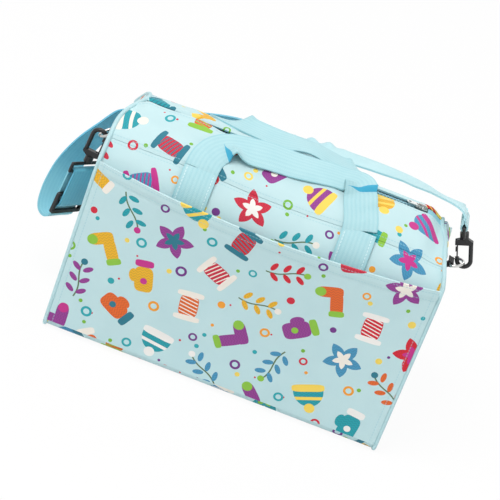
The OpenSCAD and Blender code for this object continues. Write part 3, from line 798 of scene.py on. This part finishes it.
def ribbon(name, spots, acrosses, look):
    rows, skew, flutter = look["rows"], look["skew"], look["flutter"]
    long = [0.0]
    line = []
    for i in range(rows + 1):
        t = i / rows
        spot, slope = through(spots, t)
        across = through(acrosses, t)[0].normalized()
        ahead = slope.normalized()
        square = (across - ahead * across.dot(ahead)).normalized()
        across = across.lerp(square, smooth(t, skew * 0.4, skew) if skew else 1.0).normalized()
        line.append((spot, across, ahead.cross(square)))
        if i:
            long.append(long[-1] + (spot - line[i - 1][0]).length)

    def place(s, t):
        row = round(t * rows)
        spot, across, up = line[row]
        w = spread(s, 1)
        lift = look["curl"] * (w * w - look["curlRest"])
        if flutter:
            loose = smooth(long[row], *flutter["begins"]) * smooth(long[row], *flutter["ends"])
            wave = sin(2 * pi * long[row] / flutter["pitch"])
            lift -= flutter["deep"] * loose * smooth(w, *flutter["across"]) * wave
        return spot + across * (w * look["wide"] / 2) + up * lift

    def chart(s, t):
        return spread(s, look["wide"] / 2), long[round(t * rows)]

    return layCloth(name, (look["lanes"], rows), place, chart, look["thick"],
                    lambda spot: spot + Vector((0, 0, 1)), 0)


def inMetres(spots):
    return [Vector(spot) / 1000 for spot in spots]


strapSpots, strapAcrosses = zip(*strapKeys)
strap = ribbon("strapBand", inMetres(strapSpots), strapAcrosses, strapSet)

# the strap's sewn ends, in the frames of the two hooks

rightHook = dict(
    wire=(217.750, 0, 212.822), up=(-0.34202, 0, 0.93969), out=(0.93969, 0, 0.34202), across=(0, 1, 0),
)
leftHook = dict(
    wire=(-216.050, 0, 199.913), up=(-0.104528, 0, -0.994522), out=(-0.81466, 0.57358, 0.08562),
    across=(0.5704, 0.819, -0.0599),
)
rightEndPath = [(-1.2, 58.6), (-1.3, 54.8), (-2.6, 52.3), (-3.55, 49.3), (-2.5, 46.8), (0, 45.75),
                (2.5, 46.8), (3.55, 49.3), (2.6, 52.3), (1.3, 54.8), (1.2, 58.6)]
leftEndPath = [(3.55, 57), (3.55, 53), (3.55, 49.3), (2.5, 46.8), (0, 45.75), (-2.5, 46.8), (-3.55, 49.3),
               (-3.55, 58), (-3.55, 68), (-3.55, 79), (-3.55, 89), (-3.3, 94), (-1.5, 96.9), (1, 97.2),
               (2, 96)]


def inHook(hook, path):
    wire, up, out = (Vector(hook[k]) for k in ("wire", "up", "out"))
    return inMetres([wire + out * x + up * z for x, z in path])


def strapEnd(name, hook, path, rows):
    return ribbon(name, inHook(hook, path), [hook["across"]] * len(path), dict(strapEndSet, rows=rows))


rightEnd = strapEnd("rightStrapEnd", rightHook, rightEndPath, 60)
leftEnd = strapEnd("leftStrapEnd", leftHook, leftEndPath, 98)
print("strap laid")

# finishes


class Wire:  # a socket that takes part in sums
    def __init__(self, finish, socket):
        self.finish, self.socket = finish, socket


def summing(kind, turned=False):
    return lambda one, other: one.finish.sum(kind, *((other, one) if turned else (one, other)))


Wire.__add__ = Wire.__radd__ = summing("ADD")
Wire.__sub__, Wire.__rsub__ = summing("SUBTRACT"), summing("SUBTRACT", True)
Wire.__mul__ = Wire.__rmul__ = Wire.__and__ = summing("MULTIPLY")
Wire.__truediv__, Wire.__or__ = summing("DIVIDE"), summing("MAXIMUM")
Wire.__lt__, Wire.__gt__ = summing("LESS_THAN"), summing("GREATER_THAN")
Wire.__abs__ = lambda one: one.finish.sum("ABSOLUTE", one)


class Finish:  # the nodes of a material, or of the sky
    def __init__(self, owner, fixed):
        owner.use_nodes = True
        self.owner, self.tree = owner, owner.node_tree
        self.shader = next(n for n in self.tree.nodes if n.type in ("BSDF_PRINCIPLED", "BACKGROUND"))
        for socket, value in fixed.items():
            self.shader.inputs[socket].default_value = value

    def node(self, kind, values=(), out=0, **settings):
        made = self.tree.nodes.new("ShaderNode" + kind)
        for key, value in settings.items():
            setattr(made, key, value)
        for place, value in values.items() if isinstance(values, dict) else enumerate(values):
            self.feed(made.inputs[place], value)
        return Wire(self, made.outputs[out])

    def feed(self, socket, value):
        if isinstance(value, Wire):
            self.tree.links.new(value.socket, socket)
        elif socket.type == "RGBA":
            socket.default_value = (*value[:3], 1)
        else:
            socket.default_value = value

    def sum(self, kind, *values):
        return self.node("Math", values, operation=kind)

    def vector(self, kind, *values, out=0):
        return self.node("VectorMath", values, out, operation=kind)

    def length(self, vector):
        return self.vector("LENGTH", vector, out="Value")

    def split(self, vector):
        made = self.node("SeparateXYZ", [vector])
        return [Wire(self, socket) for socket in made.socket.node.outputs]

    def chart(self):
        uv = self.node("TexCoord", out="UV")
        return uv, *self.split(uv)[:2]

    def blend(self, factor, below, above):
        return self.node("Mix", {0: factor, 6: below, 7: above}, 2, data_type="RGBA")

    def grain(self, size, detail=2.0, where=None):
        where = where or self.node("TexCoord", out="Object")
        return self.node("TexNoise", {"Vector": where, "Scale": 1 / size, "Detail": detail})

    def wave(self, value, pitch):
        return self.sum("SINE", value * (2 * pi / pitch))

    def ease(self, value, start, stop):
        return self.node("MapRange", [value, start, stop, 0.0, 1.0], interpolation_type="SMOOTHSTEP")

    def palette(self, pick, colours):  # colours in equal steps
        wire = self.node("ValToRGB", [pick])
        ramp = wire.socket.node.color_ramp
        ramp.interpolation = "CONSTANT"
        while len(ramp.elements) < len(colours):
            ramp.elements.new(0.5)
        for k, (stop, colour) in enumerate(zip(ramp.elements, colours)):
            stop.position, stop.color = k / len(colours), (*tint(*colour), 1)
        return wire

    def done(self, colour, rough, height, strength, deep):
        bumps = self.node("Bump", {"Strength": strength, "Distance": deep, "Height": height})
        for socket, value in (("Base Color", colour), ("Roughness", rough), ("Normal", bumps)):
            self.feed(self.shader.inputs[socket], value)
        return self.owner

    def stitches(self, along, off, pitch, share):  # thread about 1 mm wide
        return (abs(off) < 0.00055) & (self.sum("FRACT", along / pitch) < share)


def newFinish(name, fixed):
    return Finish(bpy.data.materials.new(name), fixed)


def tint(*picked):  # from the numbers of a colour picker
    shares = [c / 255 for c in picked]
    return tuple(c / 12.92 if c < 0.0404 else ((c + 0.055) / 1.055) ** 2.4 for c in shares)


# printed cotton: knitwear shapes scattered over pale aqua, with places and sizes in cells
printSet = dict(
    cell=0.057, turn=17.0, stray=0.12, ground=tint(197, 228, 231), shade=tint(187, 221, 226),
    main=[(214, 28, 48), (30, 160, 172), (236, 182, 40), (206, 40, 66), (228, 104, 40), (70, 150, 190),
          (150, 62, 148)],
    second=[(240, 236, 226), (140, 196, 66), (196, 48, 138), (246, 214, 92), (240, 240, 236),
            (40, 120, 140)],
    dot=[(206, 36, 60), (112, 52, 134), (240, 160, 52), (120, 184, 60), (40, 166, 176), (240, 214, 96)],
    thread=tint(150, 205, 216), line=tint(40, 44, 56), stem=tint(92, 118, 84), stitch=(0.0036, 0.68),
    weave=0.0009,
)


def printFinish(name, rows=(), columns=()):
    f = newFinish(name, {"Sheen Weight": 0.12, "Sheen Roughness": 0.45, "Specular IOR Level": 0.32})
    uv, u, v = f.chart()
    sheet = f.node("Mapping", {"Vector": uv, "Rotation": (0, 0, radians(printSet["turn"])),
                               "Scale": (1 / printSet["cell"],) * 3})

    def dice(vector, salt):
        whole = f.vector("FLOOR", vector)
        salted = f.vector("ADD", whole, (salt, salt * 1.7, 0))
        return f.node("TexWhiteNoise", {"Vector": salted}, "Color", noise_dimensions="2D")

    def centred(vector, chances, stray):
        inside = f.vector("SUBTRACT", f.vector("FRACTION", vector), (0.5, 0.5, 0))
        moved = f.vector("MULTIPLY_ADD", chances, (stray, stray, 0), (-stray / 2, -stray / 2, 0))
        return f.vector("SUBTRACT", inside, moved)

    mottle = f.grain(0.035, 3.0, uv)
    plain = f.blend(mottle, printSet["ground"], printSet["shade"])

    # tiny dots, clear of the shapes
    fine = f.vector("MULTIPLY", sheet, (3, 3, 0))
    chance = dice(fine, 7.0)
    first, second = f.split(chance)[:2]
    toDot = centred(fine, chance, 0.5)
    middle = f.vector("MULTIPLY_ADD", toDot, (-1 / 3, -1 / 3, 0), sheet)
    alone = f.length(centred(middle, dice(middle, 0.0), printSet["stray"])) > 0.43
    small = f.length(toDot) < 0.06 + 0.10 * second
    colour = f.blend(small & (first < 0.42) & alone, plain, f.palette(second, printSet["dot"]))

    # one shape in each cell
    chance = dice(sheet, 0.0)
    kind, hue, other = f.split(chance)
    shrunk = f.vector("MULTIPLY", centred(sheet, chance, printSet["stray"]), (0.80, 0.80, 0))
    angle = (hue + other) * pi
    local = f.node("VectorRotate", {"Vector": shrunk, "Angle": angle}, rotation_type="Z_AXIS")
    x, y = f.split(local)[:2]
    knit = f.wave(y + f.sum("PINGPONG", x + 2.0, 0.035) * 0.9, 0.046) > 0.35
    main = f.blend(knit * 0.2, f.palette(hue, printSet["main"]), printSet["line"])
    accent = f.palette(other, printSet["second"])

    def fitted(middle, wide, tall, where):
        shift = (-middle[0] / wide, -middle[1] / tall, 0)
        return f.vector("MULTIPLY_ADD", where, (1 / wide, 1 / tall, 0), shift)

    def disc(middle, wide, tall, where=local):
        return f.length(fitted(middle, wide, tall, where)) < 1.0

    def block(middle, wide, tall, where=local):  # a bar with soft corners
        moved = fitted(middle, wide, tall, where)
        return f.length(f.vector("MULTIPLY", moved, moved)) < 1.0

    reach = f.length(local)
    turn = f.sum("PINGPONG", f.sum("ARCTAN2", y, x) * (2.5 / pi) + 5.0, 0.5)
    stem = (abs(x + 0.03 * f.wave(y, 0.7)) < 0.012) & (abs(y) < 0.33)
    out, up = abs(x) - 0.095, f.sum("FRACT", (y + 0.3) * 5.0) * 0.2 - 0.1
    leaf = f.node("CombineXYZ", [out * 0.8 + up * 0.6, up * 0.8 - out * 0.6, 0.0])
    shapes = {
        "bobble hat": ((disc((0, -0.05), 0.24, 0.27) & (y > -0.06), main),
                       (disc((0, -0.05), 0.24, 0.27) & (abs(y - 0.075) < 0.028), accent),
                       (block((0, -0.11), 0.26, 0.066) | disc((0, 0.25), 0.085, 0.085), accent)),
        "mitten": ((block((0, 0.07), 0.15, 0.22) | disc((0.165, 0.02), 0.075, 0.115), main),
                   (block((0, -0.21), 0.15, 0.062) | disc((0, 0.1), 0.055, 0.055), accent)),
        "star": ((reach < 0.32 - 0.34 * turn, main),
                 (reach < 0.17 - 0.19 * turn, accent)),
        "spool": ((block((0, 0), 0.15, 0.19), main),
                  (block((0, 0), 0.14, 0.18) & (f.wave(y + 0.25 * x, 0.062) > 0.55), accent),
                  (block((0, 0.215), 0.21, 0.05, f.vector("ABSOLUTE", local)), accent)),
        "sprig": ((stem, printSet["stem"]),
                  (disc((0, 0), 0.088, 0.042, leaf) & (abs(y) < 0.3), main),
                  (disc((0, 0.31), 0.055, 0.055), accent)),
        "sock": ((block((-0.06, 0.08), 0.1, 0.22) | block((0.04, -0.14), 0.2, 0.1), main),
                 (block((-0.06, 0.27), 0.12, 0.055) | disc((0.19, -0.14), 0.085, 0.085), accent)),
    }
    number = f.sum("FLOOR", kind * len(shapes))
    for place, layers in enumerate(shapes.values()):
        here = f.sum("COMPARE", number, place, 0.1)
        for mask, paint in layers:
            colour = f.blend(here & mask, colour, paint)

    # rings and buttons where four cells meet
    corner = f.vector("ADD", sheet, (0.5, 0.5, 0))
    chance = dice(corner, 3.0)
    first, second = f.split(chance)[:2]
    away = f.length(centred(corner, chance, 0.14))
    size = 0.06 + 0.055 * second
    colour = f.blend(away < size, colour, f.palette(first, printSet["dot"]))
    colour = f.blend((away < size * 0.55) & (second > 0.4), colour, plain)

    # rows of stitches along the chart
    weave = f.wave(u, printSet["weave"]) * f.wave(v, printSet["weave"]) * 0.25
    weave = weave + f.grain(0.0022, 2.0, uv) * 0.8 + mottle
    stitched = [f.stitches(u, v - place, *printSet["stitch"]) for place in rows]
    stitched += [f.stitches(v, u - place, *printSet["stitch"]) for place in columns]
    if stitched:
        thread = stitched[0]
        for row in stitched[1:]:
            thread = thread | row
        colour = f.blend(thread * 0.45, colour, printSet["thread"])
        weave = weave + thread * 1.5
    return f.done(colour, 0.56 + 0.14 * mottle, weave, 0.35, 0.0006)


# woven webbing: chevron ribs, firmer edges, worn crown, and painted shade on the walls of folds
webLook = dict(
    rib=0.0017, furrow=0.0024, slant=0.9, edge=0.0174, seam=0.0152, stitch=(0.0038, 0.66), foldWall=0.0030,
    foldShade=tint(58, 172, 208),
)


def webFinish(name, light, deep, stitch=None, paintedLightFades=(), folds=(), ribs=1.0):
    f = newFinish(name, {"Sheen Weight": 0.25, "Sheen Roughness": 0.35, "Specular IOR Level": 0.42})
    uv, u, v = f.chart()
    zigzag = f.sum("PINGPONG", u + 1.0, webLook["furrow"])
    rib = f.wave(v + zigzag * webLook["slant"], webLook["rib"])
    furrow = zigzag / webLook["furrow"]
    edge = abs(u) > webLook["edge"]
    worn = f.grain(0.03, 3.0, uv)
    fuzz = f.grain(0.0011, 2.0, uv)
    for start, stop, tone, toneDeep in paintedLightFades:  # painted light and shade: a long band changes tone along its length, paler where it is lit and deeper where it is shaded
        run = f.ease(v, start, stop)
        light, deep = f.blend(run, light, tone), f.blend(run, deep, toneDeep)
    colour = f.blend(rib * (0.16 * ribs) + furrow * (0.28 * ribs) + 0.42 * worn, light, deep)
    colour = f.blend(edge * 0.35, colour, deep)
    height = rib * 0.5 + fuzz * 0.6 - edge * 0.8 - f.sum("POWER", furrow, 6.0) * 0.7
    for fold in folds:  # painted shade: a deeper tint on the wall of a fold, running out across the band
        bare, full = fold["plain"] * webSet["wide"], fold["full"] * webSet["wide"]
        wall = f.ease(u, bare, full) * webLook["foldWall"]
        colour = f.blend(abs(v - fold["at"] * handleSet["long"]) < wall, colour, webLook["foldShade"])
    if stitch:
        row = f.stitches(v, abs(u) - webLook["seam"], *webLook["stitch"])
        colour = f.blend(row * 0.8, colour, stitch)
        height = height + row * 1.2
    return f.done(colour, 0.46 + 0.16 * worn + 0.06 * fuzz, height, 0.4, 0.0005)


# plain woven cloth for tape, trim and lining
def clothFinish(name, light, deep, pitch, strength=0.35, sheen=0.15):
    f = newFinish(name, {"Sheen Weight": sheen, "Sheen Roughness": 0.4, "Specular IOR Level": 0.3})
    x, y, z = f.split(f.node("TexCoord", out="Object"))
    threads = f.wave(x + y, pitch) * f.wave(z - y * 0.6, pitch)
    patch = f.grain(0.04, 3.0)
    fuzz = f.grain(pitch * 1.5, 2.0)
    colour = f.blend(0.18 * threads + 0.55 * patch + 0.15 * fuzz, light, deep)
    return f.done(colour, 0.58 + 0.2 * patch, threads * 0.5 + fuzz, strength, pitch * 0.5)


# metal, plastic and board: a fine grain for the touch and a cloud of wear, each with its shares
hardLooks = dict(
    nickel=dict(fixed={"Metallic": 1.0}, fine=(0.0016, 4.0), cloud=(0.012, 2.0), worn=(0.0, 1.0),
                tones=((214, 214, 210), (176, 177, 176)), rough=(0.16, 0.06, 0.12), bump=(0.08, 0.0002)),
    blackPlastic=dict(fixed={"Specular IOR Level": 0.5}, fine=(0.0009, 2.0), cloud=(0.010, 3.0),
                      worn=(0.0, 1.0), tones=((18, 18, 20), (34, 34, 36)), rough=(0.30, 0.05, 0.16),
                      bump=(0.18, 0.0003)),
    fibreBoard=dict(fixed={"Specular IOR Level": 0.3}, fine=(0.003, 5.0), cloud=(0.05, 3.0), worn=(0.5, 0.5),
                    tones=((206, 202, 192), (168, 162, 150)), rough=(0.7, 0.15, 0.0), bump=(0.25, 0.0004)),
)


def hardFinish(name):
    look = hardLooks[name]
    f = newFinish(name, look["fixed"])
    fine, cloud = f.grain(*look["fine"]), f.grain(*look["cloud"])
    byFine, byCloud = look["worn"]
    colour = f.blend(byFine * fine + byCloud * cloud, *(tint(*tone) for tone in look["tones"]))
    least, byFine, byCloud = look["rough"]
    return f.done(colour, least + byFine * fine + byCloud * cloud, fine, *look["bump"])


rowsIn = dict(wall=0.004, hem=0.0035, pocket=0.006, seam=0.0045, zip=0.0065)  # from each edge
tall = pocketSet["hem"] - foot
hemAt = tall + pocketSet["cutFrom"]
hemRows = (hemAt - rowsIn["hem"], hemAt - pocketSet["hemWide"])
pocketColumns = [side * (halfWide - rowsIn["pocket"]) for side in (-1, 1)]
leafRows = (seamLong + rowsIn["seam"], zipLong - rowsIn["zip"])
rearLeafRows = [row + leafSet["rearChart"] for row in leafRows]
aqua, aquaThread = (tint(184, 224, 229), tint(142, 202, 213)), tint(214, 240, 244)
# strap tones are lit and shaded copies of one webbing, painted light and shade: pale where the band lies in
# the light, deep where it is shaded, lighter again at the lower loop
strapPale, strapPaintedShade = (tint(200, 236, 240), tint(154, 213, 224)), (tint(124, 207, 230), tint(64, 160, 196))
strapPaintedLowerLight = (tint(158, 220, 232), tint(104, 184, 206))
strapPaintedLightFades = ((0.20, 0.42, *strapPaintedShade), (0.52, 0.62, *strapPaintedLowerLight))
riders = (  # finish, body, slot, and pieces with the nodes they stand for
    (printFinish("wallPrint", rows=(seamLong - rowsIn["wall"],)), "bag", "print",
     ((frontWall, "front_panel"), (backWall, "back_panel"))),
    (printFinish("sidePrint"), "bag", "print",
     ((leftSide, "left_side_panel"), (rightSide, "right_side_panel"), (baseSkin, "base_panel"))),
    (printFinish("pocketPrint", hemRows, pocketColumns), "bag", "print", ((pocket, "front_pocket"),)),
    (printFinish("leafPrint", leafRows), None, "print",
     ((frontLeaf, "front_top_leaf", "front_leaf_ends"),)),
    (printFinish("rearLeafPrint", rearLeafRows), None, "print",
     ((rearLeaf, "rear_top_leaf", "rear_leaf_ends"),)),
    (webFinish("legWebbing", *aqua, aquaThread), "bag", "webbing",
     ((frontLegs, "front_handle_legs"), (rearLegs, "rear_handle_legs"))),
    (webFinish("handleWebbing", *aqua, folds=handleSet["folds"]), None, "webbing",
     ((frontHandle, "front_handle"),)),
    (webFinish("rearHandleWebbing", *aqua), None, "webbing", ((rearHandle, "rear_handle"),)),
    # the strap's colour paints light and shade along its length
    (webFinish("strapWebbing", *strapPale, paintedLightFades=strapPaintedLightFades, ribs=0.5), "strap", "strap_webbing",
     ((strap, "shoulder_strap"), (rightEnd, "right_strap_end"))),
    # the strap's left end carries the painted shade tone all over
    (webFinish("strapEndWebbing", *strapPaintedShade, ribs=0.5), None, "strap_webbing",
     ((leftEnd, "strap_return"),)),
    (clothFinish("trim", tint(194, 228, 232), tint(168, 212, 220), 0.0010), "bag", "piping",
     ((leftPiping, "left_piping"), (rightPiping, "right_piping"), (leftZipTab, "left_zip_end_tab"))),
    (clothFinish("endTabTape", tint(158, 218, 230), tint(120, 194, 212), 0.0009), "bag", "piping",
     ((rightZipTab, "right_zip_end_tab"),)),
    (clothFinish("liningCloth", tint(206, 212, 216), tint(178, 188, 194), 0.0009), "bag", "lining",
     ((lining, "lining"),)),
    (clothFinish("blackTape", tint(20, 20, 22), tint(40, 40, 43), 0.0012), "bag", "ring_tab",
     ((leftRingTab, "left_ring_tab"), (rightRingTab, "right_ring_tab"))),
    (clothFinish("zipTape", tint(128, 186, 202), tint(96, 152, 172), 0.0008), None, "zip_tape",
     ((frontTape, "front_zip_tape"), (rearTape, "rear_zip_tape"))),
    (clothFinish("zipTeeth", tint(150, 196, 208), tint(112, 164, 180), 0.0006, 0.15, 0.0), None, "zip_teeth",
     ((frontTeeth, "front_zip_teeth"), (rearTeeth, "rear_zip_teeth"))),
)
for finish, body, slot, pieces in riders:  # a piece without a body of its own blends between two
    for piece, *nodes in pieces:
        piece.data.materials.clear()
        piece.data.materials.append(finish)
        if body:
            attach(piece, body)
        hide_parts(*nodes)
keptNodes = (
    (hardFinish("fibreBoard"), ("base_board",)),
    (hardFinish("nickel"), ("zip_slider", "zip_pull", "left_d_ring", "right_d_ring")),
    (hardFinish("blackPlastic"), ("left_hook", "right_hook", "left_hook_gate", "right_hook_gate",
                                  "left_swivel_eye", "right_swivel_eye", "strap_adjuster")),
)
for finish, nodes in keptNodes:
    for node in nodes:
        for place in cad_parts[node].material_slots:
            place.material = finish
print("finishes and bodies given")

# floor and light

stageSet = dict(floorZ=-0.0004, wide=14.0, floorGlow=0.93, sky=0.52)
lampSet = (  # name, stand, aim, width, power and colour
    ("keyLamp", (-0.8, -0.9, 2.5), (0, 0, 0.12), 1.6, 45.0, (1.0, 0.94, 0.93)),
    ("fillLamp", (1.9, -1.6, 1.2), (0, 0, 0.12), 1.8, 7.0, (1, 1, 1)),
    ("rimLamp", (0.4, 1.8, 1.9), (0, 0, 0.15), 1.5, 12.0, (1, 1, 1)),
)


def whiteSeen(f):  # 1 for rays that look at the white, 0 for rays that light by it
    path = f.node("LightPath")
    outputs = path.socket.node.outputs
    return path | Wire(f, outputs["Is Glossy Ray"]) | Wire(f, outputs["Is Transmission Ray"])


def makeFloor():
    bpy.ops.mesh.primitive_plane_add(size=stageSet["wide"], location=(0, 0, stageSet["floorZ"]))
    floor = bpy.context.object
    floor.name = "studioFloor"
    settle(floor)
    f = newFinish("studioWhite", {"Base Color": (0.9, 0.9, 0.9, 1), "Roughness": 0.9,
                                  "Specular IOR Level": 0.0})
    glow = f.node("Emission", {"Color": (1, 1, 1), "Strength": 1.0})
    body = Wire(f, f.shader.outputs[0])
    both = f.node("MixShader", [whiteSeen(f) * stageSet["floorGlow"], body, glow])
    f.feed(f.tree.nodes["Material Output"].inputs["Surface"], both)
    floor.data.materials.append(f.owner)


def makeSky():
    world = bpy.data.worlds.new("studioSky")
    bpy.context.scene.world = world
    f = Finish(world, {"Color": (1, 1, 1, 1)})
    f.feed(f.shader.inputs["Strength"], stageSet["sky"] + (1 - stageSet["sky"]) * whiteSeen(f))


def makeLamp(name, stand, aim, wide, power, colour):
    lamp = bpy.data.lights.new(name, "AREA")
    lamp.shape = "DISK"
    lamp.size, lamp.energy, lamp.color = wide, power, colour
    addObject(name, lamp).matrix_world = looking(stand, aim)


makeFloor()
makeSky()
for lamp in lampSet:
    makeLamp(*lamp)
bpy.context.scene.view_settings.view_transform = "Standard"
print("stage lit")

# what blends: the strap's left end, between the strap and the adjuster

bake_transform(leftEnd, "strap", "adjuster", inHook(leftHook, [(0, 55)])[0], inHook(leftHook, [(0, 88)])[0])
